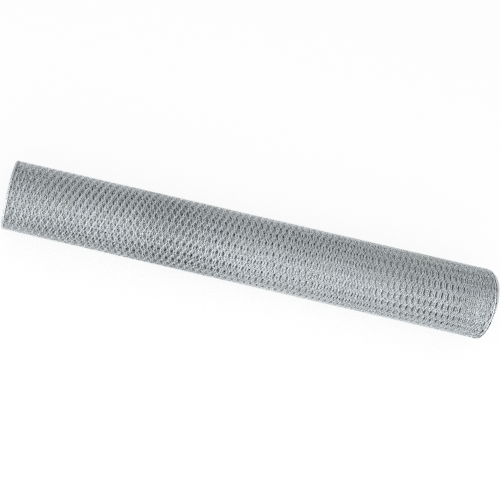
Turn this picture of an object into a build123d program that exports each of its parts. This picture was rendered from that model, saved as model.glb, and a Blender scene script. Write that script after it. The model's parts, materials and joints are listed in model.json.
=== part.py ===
from build123d import *
import os
from math import atan, cos, degrees, sin, sqrt

# A roll of galvanised hexagonal wire netting (chicken wire), lying on its side on the floor.
# It is one web of netting wound on itself, made here as one turned solid with its bore.
# The edge of every turn shows as a ring on both ends, with a gap between each ring and the next.
# Millimetres, +Z up. The origin is on the floor under the middle of the roll.
# The roll lies along X with its thick end at +X.

# The roll, over its edge wires. It was wound a little slack at one edge, which makes it slightly conical.
netting_width = 1000.0
thick_diameter = 148.0
thin_diameter = 140.0
bore_diameter = 70.0
turn_count = 31

# The edge of one turn: the doubled edge wires, and the gap that can be seen into beside them.
edge_share = 0.55
gap_depth = 0.9

# The edge wires of the outermost turn stand a little proud of the mesh, and the roll lies on them.
edge_width = 2.4
edge_rise = 0.3

# The outer turns stand back from the ends in a rounded shoulder. It is wide at the thick end,
# where the web is slack, and narrow at the thin end.
thick_shoulder_width = 20.0
thick_shoulder_depth = 16.0
thin_shoulder_width = 8.0
thin_shoulder_depth = 5.0

thick_radius = thick_diameter / 2
thin_radius = thin_diameter / 2
bore_radius = bore_diameter / 2


def turn_edges(rim, shoulder_width, shoulder_depth):
    """Radius and stand-back of each corner on one end, from the bore out to the rim."""
    pitch = (rim - bore_radius) / turn_count
    half_gap = pitch * (1 - edge_share) / 2
    corners = []
    last_back = 0
    for turn in range(turn_count):
        inside = bore_radius + pitch * turn
        outside = inside + pitch
        reach_share = max(0, (inside + outside) / 2 - rim + shoulder_width) / shoulder_width
        back = shoulder_depth * (1 - sqrt(1 - reach_share**2))
        if turn > 0:
            corners.append((inside, max(back, last_back) + gap_depth))
            inside = inside + half_gap
        if turn < turn_count - 1:
            outside = outside - half_gap
        corners.append((inside, back))
        corners.append((outside, back))
        last_back = back
    return corners


thick_line = turn_edges(thick_radius, thick_shoulder_width, thick_shoulder_depth)
thin_corners = turn_edges(thin_radius, thin_shoulder_width, thin_shoulder_depth)
thin_line = [(radius, netting_width - back) for radius, back in thin_corners]
thin_edge_along = thin_line[-1][1]
thick_edge_along = thick_line[-1][1] + edge_width

side_line = [
    (thick_radius, thick_edge_along),
    (thick_radius - edge_rise, thick_edge_along + edge_rise),
    (thin_radius - edge_rise, thin_edge_along - edge_width - edge_rise),
    (thin_radius, thin_edge_along - edge_width),
]

with BuildPart() as roll:
    with BuildSketch(Plane.XZ):
        with BuildLine():
            Polyline(*thick_line, *side_line, *reversed(thin_line), close=True)
        make_face()
    revolve(axis=Axis.Z)

# The roll lies on its two rims, so its axis leans by the little that their radii differ.
rim_span = thin_edge_along - thick_edge_along
lean = atan((thick_radius - thin_radius) / rim_span)
thick_end_along = netting_width * cos(lean) / 2
thick_end_height = thick_radius * cos(lean) + thick_edge_along * sin(lean)
quarter_turn = 90
lying = Rot(0, -quarter_turn - degrees(lean), 0) * roll.part
netting_roll = Pos(thick_end_along, 0, thick_end_height) * lying

os.makedirs("parts", exist_ok=True)
export_step(netting_roll, "parts/netting_roll.step")
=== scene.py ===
import json
import math
import bpy
import numpy as np
from mathutils import Matrix, Vector


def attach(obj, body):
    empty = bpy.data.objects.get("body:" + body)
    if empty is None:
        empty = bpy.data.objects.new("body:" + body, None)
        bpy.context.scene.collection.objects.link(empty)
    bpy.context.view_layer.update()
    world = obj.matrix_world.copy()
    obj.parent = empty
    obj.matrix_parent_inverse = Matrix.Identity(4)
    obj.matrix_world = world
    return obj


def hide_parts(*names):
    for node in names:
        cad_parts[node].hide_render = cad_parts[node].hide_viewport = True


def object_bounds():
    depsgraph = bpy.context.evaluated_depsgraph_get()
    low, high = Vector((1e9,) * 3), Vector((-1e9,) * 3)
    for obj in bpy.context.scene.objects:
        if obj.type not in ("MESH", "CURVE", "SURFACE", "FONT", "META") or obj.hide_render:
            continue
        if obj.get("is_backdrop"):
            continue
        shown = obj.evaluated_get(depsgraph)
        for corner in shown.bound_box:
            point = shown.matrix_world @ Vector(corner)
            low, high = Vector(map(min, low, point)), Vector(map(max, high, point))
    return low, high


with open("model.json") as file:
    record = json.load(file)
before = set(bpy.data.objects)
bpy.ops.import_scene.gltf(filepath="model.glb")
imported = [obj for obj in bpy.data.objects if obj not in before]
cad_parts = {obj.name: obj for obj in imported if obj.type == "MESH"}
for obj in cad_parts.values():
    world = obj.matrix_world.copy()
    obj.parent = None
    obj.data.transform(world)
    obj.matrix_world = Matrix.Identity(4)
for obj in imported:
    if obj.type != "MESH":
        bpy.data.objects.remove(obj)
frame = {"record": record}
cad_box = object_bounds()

scene = bpy.context.scene
scene.view_settings.view_transform = "Standard"
# The wires are thinner than a pixel, and denoising smears them into one another.
scene.cycles.use_denoising = False


# THE CAMERA
# It looks down on the lying roll, nearer to its thin end, turned so that the roll slopes across the picture.
eye = Vector((-0.30024, -1.1742, 2.0913))
aim = Vector((-0.00954, 0.0003, 0.0720))
picture_turn = math.radians(25.125)
camera = bpy.data.objects.new("camera", bpy.data.cameras.new("camera"))
scene.collection.objects.link(camera)
camera.data.lens = 84.03
camera.data.sensor_width = 36
camera.location = eye
camera.rotation_mode = "QUATERNION"
upright = (aim - eye).to_track_quat("-Z", "Y")
camera.rotation_quaternion = upright @ Matrix.Rotation(picture_turn, 3, "Z").to_quaternion()
scene.camera = camera


# THE WIRE
# Thin steel wire, hot-dip galvanised after weaving: zinc that is cool grey in one place and warmer in the
# next, with brighter and duller specks where the coat ran thick or thin. Deeper in the roll its colour is
# painted darker, as painted shade from the turns over it.
class Socket:
    """An output of a node tree that Python's operators work on."""

    def __init__(self, tree, out):
        self.tree, self.out = tree, out

    def node(self, kind, settings=None, inputs=None, output=0):
        made = self.tree.nodes.new(kind)
        for name, value in (settings or {}).items():
            setattr(made, name, value)
        for name, value in (inputs or {}).items():
            if isinstance(value, Socket):
                self.tree.links.new(value.out, made.inputs[name])
            else:
                made.inputs[name].default_value = value
        return Socket(self.tree, made.outputs[output])

    def maths(self, operation, first, second):
        return self.node("ShaderNodeMath", {"operation": operation}, {0: first, 1: second})

    def __add__(self, other):
        return self.maths("ADD", self, other)

    def __mul__(self, other):
        return self.maths("MULTIPLY", self, other)

    __radd__ = __add__
    __rmul__ = __mul__

    def noise(self, scale, detail):
        """Noise at these places."""
        return self.node("ShaderNodeTexNoise", None, {"Vector": self, "Scale": scale, "Detail": detail})

    def mixed(self, low, high):
        """Colour between low and high, by this factor."""
        return self.node("ShaderNodeMix", {"data_type": "RGBA"}, {0: self, 6: low, 7: high}, 2)

    def into(self, node, name):
        self.tree.links.new(self.out, node.inputs[name])


def start_material(name):
    material = bpy.data.materials.new(name)
    material.use_nodes = True
    shader = material.node_tree.nodes["Principled BSDF"]
    place = material.node_tree.nodes.new("ShaderNodeTexCoord")
    return material, shader, Socket(material.node_tree, place.outputs["Object"])


cool_zinc = (0.79, 0.84, 0.88), (0.92, 0.96, 0.99)
warm_zinc = (0.79, 0.82, 0.82), (0.93, 0.95, 0.94)
roughness_range = 0.30


def galvanised(name, brightness, smoothest=0.46):
    """The zinc coat, its colour scaled by the given brightness: below 1 as painted shade, above 1 as a
    painted highlight.
    """
    material, shader, place = start_material(name)
    patches = place.noise(scale=14.0, detail=3.0)
    specks = place.noise(scale=420.0, detail=2.0)
    drips = place.noise(scale=1500.0, detail=1.0)

    def speckled(dullest, brightest):
        dull = [value * brightness for value in dullest]
        bright = [value * brightness for value in brightest]
        return specks.mixed((*dull, 1), (*bright, 1))

    patches.mixed(speckled(*cool_zinc), speckled(*warm_zinc)).into(shader, "Base Color")
    (specks * roughness_range + smoothest).into(shader, "Roughness")
    bump = place.node("ShaderNodeBump", None, {"Strength": 0.15, "Distance": 0.0002, "Height": drips})
    bump.into(shader, "Normal")
    shader.inputs["Metallic"].default_value = 1.0
    return material


fresh_zinc = galvanised("galvanised_wire", brightness=1.0)
# The next two are the same zinc with its colour painted darker, as painted shade from the turns over them.
shaded_zinc = galvanised("shaded_galvanised_wire", brightness=0.70)
deep_shade_zinc = galvanised("deep_shade_galvanised_wire", brightness=0.28)
# The edge wires are the same zinc, smoother, with its colour painted a little brighter as a painted
# highlight.
edge_zinc = galvanised("edge_galvanised_wire", brightness=1.03, smoothest=0.05)


# THE INNER TURNS
# The web of netting is wound on itself from the bore outwards. Two galvanised wires are twisted together by
# three half-turns, part, and are twisted with their other neighbours, which makes the hexagons. The twists
# run round the roll.
millimetre = 0.001
bore = {mount["name"]: mount for mount in frame["record"]["mounts"]}["bore"]
width = bore["dims"]["length_mm"] * millimetre
bore_radius = bore["dims"]["r_mm"] * millimetre
along = np.array(bore["axis"])
thick_end = np.array(bore["pos_m"]) + along * width / 2

# The mesh lies a little inside the rims that the edge wires make.
edge_rise = 0.0003
taper = 0.004
thick_radius = cad_box[1][1] - edge_rise
thin_radius = thick_radius - taper

# The web: its turns and its length, the cells across it, the length of a row of them and of a twist, and the
# radius of a wire.
turns = 31
web_length = 10.0
cells = 77
cell = width / cells
row = 0.01967
twist = 0.0105
strand = 0.00045
half_turns = 3
last_row = int(web_length / row) - 1

# Angles round the roll are counted from its front, the line that faces up and forward. The free end of the
# web lies at the back.
front_rise = math.radians(60)
free_end = math.radians(230)
front = np.array((0, -math.cos(front_rise), math.sin(front_rise)))
front -= along * (front @ along)
front /= np.linalg.norm(front)
below = np.cross(along, front)

middle_radius = (thick_radius + thin_radius) / 2 - 2 * strand
middle_pitch = ((thick_radius + thin_radius) / 2 - bore_radius) / turns


def length_at(turn):
    """Length of web from the free end to a turn."""
    return 2 * math.pi * (middle_radius * turn - middle_pitch * turn**2 / 2)


def turn_at(length):
    return (middle_radius - np.sqrt(middle_radius**2 - middle_pitch * length / math.pi)) / middle_pitch


def row_at(turn):
    """Number of the row of twists, counted from the free end, at which a turn is complete."""
    return round(length_at(turn) / row)


# The outer turns stand back from the ends in a rounded shoulder. Some of them lie edge to edge there: those
# from one turn to another are drawn to the level of a third.
thick_shoulder_width, thick_shoulder_depth = 0.020, 0.014
thin_shoulder_width, thin_shoulder_depth = 0.008, 0.005
edge_inset = 0.0018
edge_to_edge = ((-1.0, 2.14, 0.9), (2.14, 6.14, 4.5))
edge_to_edge_share = 0.9
change_over = 0.2
unevenness = 0.0004


def stand_back(turn, rim, shoulder_width, shoulder_depth):
    """How far the edge of a turn stands back from the end of the roll."""
    pitch = (rim - bore_radius) / turns
    for first, last, level in edge_to_edge:
        past_first = np.clip((turn - first) / change_over + 0.5, 0, 1)
        before_last = np.clip((last - turn) / change_over + 0.5, 0, 1)
        turn = turn + (level - turn) * past_first * before_last * edge_to_edge_share
    reach = np.clip(1 - pitch * (turn + 0.5) / shoulder_width, 0, 1)
    in_and_out = unevenness * (1 + np.sin(0.9 * math.pi * turn))
    return shoulder_depth * (1 - np.sqrt(1 - reach**2)) + edge_inset + in_and_out


# Near the outside each turn beds into the mesh of the turn under it. The rows of these turns come into line
# at the front, and every other turn lies out of step with its neighbours by part of a row and of a cell. The
# first list of a pair is the places along the roll, as shares of its width from the thin end.
turns_at_front = free_end / (2 * math.pi)
whole_turns = np.arange(turns - 2)
rows_passed = (length_at(whole_turns + turns_at_front) - length_at(turns_at_front)) / row
odd_turn_slip = 0.2
into_line = 2 * np.round((rows_passed + odd_turn_slip * (whole_turns % 2)) / 2) - rows_passed
bedded_turns = (0.2, 0.32, 0.48, 0.7, 0.9, 1), (4, 6, 4, 7, 7, 5)
rows_out_of_step = (0, 0.2, 0.52, 1), (-0.55, -0.5, 0, 0.03)
cells_out_of_step = (0, 0.2, 0.64, 0.95), (-0.2, -0.25, -0.5, -0.95)
wander_cells = 0.25

# The mesh is skewed as the web was wound, drawn out towards one edge, and nowhere quite even.
skewed_turns = 12
thick_skew, thin_skew = math.radians(-2.3), math.radians(3.5)
drawn_out_share = 0.04
edge_bow = 0.008
ripple = 0.0007
dent = 0.00015
tightening = 1.4


def wind(length, across, lift):
    """Points of the wound web: length from its free end, share across it from the thick end, lift off it."""
    turn = turn_at(length)
    from_thin = 1 - across
    side = thick_radius + (thin_radius - thick_radius) * across
    outer = np.clip(1 - turn / skewed_turns, 0, 1)

    depth = turn - turns_at_front
    bedded = np.clip(np.interp(from_thin, *bedded_turns) - depth, 0, 1)
    every_other = (1 - np.cos(math.pi * depth)) / 2
    rows_off = np.interp(depth, whole_turns, into_line)
    rows_off = bedded * (rows_off + every_other * np.interp(from_thin, *rows_out_of_step))
    cells_off = bedded * every_other * np.interp(from_thin, *cells_out_of_step)
    wander = (1 - bedded) * wander_cells * np.sin(2.4 * depth + 3 * across)
    angle = free_end - 2 * math.pi * turn + rows_off * row / (middle_radius - middle_pitch * turn)

    # The two edges hold the mesh, so it shifts less beside them.
    thick_back = stand_back(turn, thick_radius, thick_shoulder_width, thick_shoulder_depth)
    thin_back = stand_back(turn, thin_radius, thin_shoulder_width, thin_shoulder_depth)
    free = 1 - np.clip(np.abs(2 * across - 1), 0, 1) ** 8
    free_of_thin = 1 - np.clip(2 * across - 1, 0, 1) ** 8
    skew = (thick_skew + (thin_skew - thick_skew) * across) * outer * free_of_thin
    stretched = across - drawn_out_share * across * from_thin
    axial = thick_back + stretched * (width - thick_back - thin_back)
    axial = axial + edge_bow * np.sin(angle) ** 2 * outer * from_thin**12
    axial = axial + cell * free * (cells_off + wander)
    axial = axial + side * np.tan(skew) * np.sin(angle)
    axial = axial + ripple * free * np.sin(21 * axial + 1.37 * angle) * np.sin(9.7 * across + 0.61 * angle)

    # The turns are wound tighter towards the outside.
    dip = dent * (1 + np.sin(33 * axial + 2.3 * angle) * np.sin(1.7 * angle + 9 * axial))
    radius = side - 2 * strand - (side - bore_radius) * (turn / turns) ** tightening - dip + lift
    out = np.cos(angle)[..., None] * front + np.sin(angle)[..., None] * below
    return thick_end - axial[..., None] * along + radius[..., None] * out, out


# At the edges of the web a wire makes one whole turn round the edge wires: how far it reaches round them
# across the web and off it, in radii of a wire.
edge_half_turns = 2
edge_reach = 2.9
edge_lift = 1.5


def wires(first, last, steps):
    """Paths of all wires from one row to another, with the given number of points in each twist."""
    # Each wire runs slantwise over the web by half a cell in each row, and turns back at its edges.
    number = np.arange(2 * cells)
    start = number // 2 * 2 + 1
    start = np.where(number % 2 == 0, start, -start)
    rows = np.arange(first - 1, last + 2)
    column = (start[:, None] + rows) % (4 * cells)
    column = np.where(column > 2 * cells, 4 * cells - column, column)
    came = np.sign(column[:, :-2] - column[:, 1:-1])
    goes = np.sign(column[:, 2:] - column[:, 1:-1])
    edge = (came == goes)[..., None]

    share = np.linspace(0, 1, steps)
    angle = np.where(came < 0, math.pi, 0.0)[..., None]
    angle = angle + math.pi * np.where(edge, edge_half_turns, half_turns) * share
    reach = strand * np.where(edge, edge_reach, 1.0) * np.cos(angle)
    across = (column[:, 1:-1, None] / 2 + reach / cell) / cells
    lift = strand * np.where(edge, edge_lift, 1.0) * np.sin(angle)
    length = (rows[1:-1, None] * row + twist * share)[None] + np.zeros_like(across)
    from_joint = slice(0 if first == 1 else steps - 1, None)
    return [values.reshape(2 * cells, -1)[:, from_joint] for values in (length, across, lift)]


# The points round a wire, in degrees from its outer side. What lies under the tenth turn is seen only in the
# depth of the mesh, so its wires are flat, apart from those that show in the bore.
round_wire = (0, 120, 240)
half_wire = (-90, 0, 90)
flat_wire = (-90, 90)
bore_wire = (90, 180, 270)


def tubes(path, profile, thickness=strand):
    """Vertices and faces of wires along a path, with the given points round each wire."""
    points, out = wind(*path)
    tangent = np.gradient(points, axis=1)
    tangent /= np.linalg.norm(tangent, axis=2, keepdims=True)
    flank = np.cross(tangent, out)
    flank /= np.linalg.norm(flank, axis=2, keepdims=True)
    crown = np.cross(flank, tangent)
    angles = np.radians(profile)
    ring = np.cos(angles)[:, None] * crown[:, :, None] + np.sin(angles)[:, None] * flank[:, :, None]
    verts = points[:, :, None] + thickness * ring
    number = np.arange(verts.size // 3).reshape(verts.shape[:3])
    if profile == round_wire:
        number = np.concatenate((number, number[:, :, :1]), axis=2)
    low, high = number[:, :-1], number[:, 1:]
    faces = np.stack((low[..., :-1], low[..., 1:], high[..., 1:], high[..., :-1]), axis=-1)
    return verts.reshape(-1, 3), faces.reshape(-1, 4)


def make_piece(name, verts, faces, material):
    mesh = bpy.data.meshes.new(name)
    mesh.vertices.add(len(verts))
    mesh.vertices.foreach_set("co", verts.astype(np.float32).ravel())
    mesh.loops.add(faces.size)
    mesh.loops.foreach_set("vertex_index", faces.astype(np.int32).ravel())
    mesh.polygons.add(len(faces))
    mesh.polygons.foreach_set("loop_start", np.arange(0, faces.size, 4, dtype=np.int32))
    mesh.update(calc_edges=True)
    mesh.shade_smooth()
    mesh.materials.append(material)
    piece = bpy.data.objects.new(name, mesh)
    scene.collection.objects.link(piece)
    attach(piece, "root")
    return piece


make_piece("bore_turns", *tubes(wires(row_at(28), last_row, steps=2), bore_wire), fresh_zinc)
make_piece("turns_round_the_bore", *tubes(wires(row_at(18), row_at(28), steps=2), flat_wire), fresh_zinc)
# The inner turns are drawn in zinc painted much darker, as painted shade from the turns over them.
make_piece("inner_turns", *tubes(wires(row_at(10), row_at(18), steps=2), flat_wire), deep_shade_zinc)


# THE MIDDLE TURNS
# The same web of wire, wound over the inner turns. These turns fill the mesh of the outer ones, the deeper
# of them in whatever step the winding brought them to.
# These turns are drawn in zinc painted darker, as painted shade from the outer turns.
make_piece("seventh_to_tenth_turns", *tubes(wires(row_at(6), row_at(10), steps=2), half_wire), shaded_zinc)
make_piece("third_to_sixth_turns", *tubes(wires(row_at(2), row_at(6), steps=2), round_wire), fresh_zinc)


# THE OUTER TURNS
# The last two turns of the web, which show best, with round wires and every twist. The free end lies at the
# back of the roll, bedded into the mesh of the turn under it.
make_piece("second_turn", *tubes(wires(row_at(1), row_at(2), steps=7), round_wire), fresh_zinc)
outer_turn = make_piece("outer_turn", *tubes(wires(1, row_at(1), steps=9), round_wire), fresh_zinc)
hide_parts("netting_roll")


# THE EDGE WIRES
# Two wires are twisted into a rope along each edge of the web, and the netting is woven round it. The ropes
# of all turns show on the ends of the roll as one spiral.
edge_twist = 0.008
edge_steps = 6300
edge_wire = 0.00065


def edge_rope(edge):
    """Paths of the two wires along an edge, which is given as a share across the web."""
    length = np.linspace(0, last_row * row + twist, edge_steps)[None] + np.zeros((2, 1))
    angle = 2 * math.pi * length / edge_twist + np.array(((0,), (math.pi,)))
    return length, edge + edge_wire * np.cos(angle) / width, edge_wire * np.sin(angle)


make_piece("thick_edge_wires", *tubes(edge_rope(0.0), round_wire, edge_wire), edge_zinc)
make_piece("thin_edge_wires", *tubes(edge_rope(1.0), round_wire, edge_wire), edge_zinc)


# THE FLOOR AND THE LIGHT
# A plain white floor and a white surround, with one soft lamp in front of the roll, low enough to model its
# side, and a weak one near the floor.
paper_white_share = 0.82
bpy.ops.mesh.primitive_plane_add(size=12)
floor = bpy.context.object
floor.name = "floor"
white_floor, shader, place = start_material("white_floor")
shader.inputs["Base Color"].default_value = (0.97, 0.97, 0.97, 1)
shader.inputs["Roughness"].default_value = 0.9
seen = place.node("ShaderNodeLightPath", output="Is Camera Ray")
seen = seen + place.node("ShaderNodeLightPath", output="Is Glossy Ray")
seen = seen + place.node("ShaderNodeLightPath", output="Is Transmission Ray")
white = place.node("ShaderNodeEmission", None, {"Color": (1, 1, 1, 1), "Strength": 1.0})
lit = Socket(white_floor.node_tree, shader.outputs[0])
paper = place.node("ShaderNodeMixShader", None, {0: seen * paper_white_share, 1: lit, 2: white})
paper.into(white_floor.node_tree.nodes["Material Output"], "Surface")
floor.data.materials.append(white_floor)
floor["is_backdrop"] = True

world = bpy.data.worlds.new("studio")
scene.world = world
world.use_nodes = True
world.node_tree.nodes["Background"].inputs["Color"].default_value = (1, 1, 1, 1)
world.node_tree.nodes["Background"].inputs["Strength"].default_value = 0.8


def add_lamp(name, place, size, power):
    lamp = bpy.data.objects.new(name, bpy.data.lights.new(name, "AREA"))
    scene.collection.objects.link(lamp)
    lamp.data.size = size
    lamp.data.energy = power
    lamp.location = place
    lamp.rotation_mode = "QUATERNION"
    lamp.rotation_quaternion = (Vector((0, 0, thick_radius)) - lamp.location).to_track_quat("-Z", "Y")


add_lamp("lamp", place=(0.15, -1.45, 1.6), size=1.8, power=19)
add_lamp("low_lamp", place=(0.0, -1.5, 0.3), size=0.9, power=7)

boxes = {"cad": cad_box, "visual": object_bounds()}
for name, corners in boxes.items():
    boxes[name] = [[float(value) for value in corner] for corner in corners]
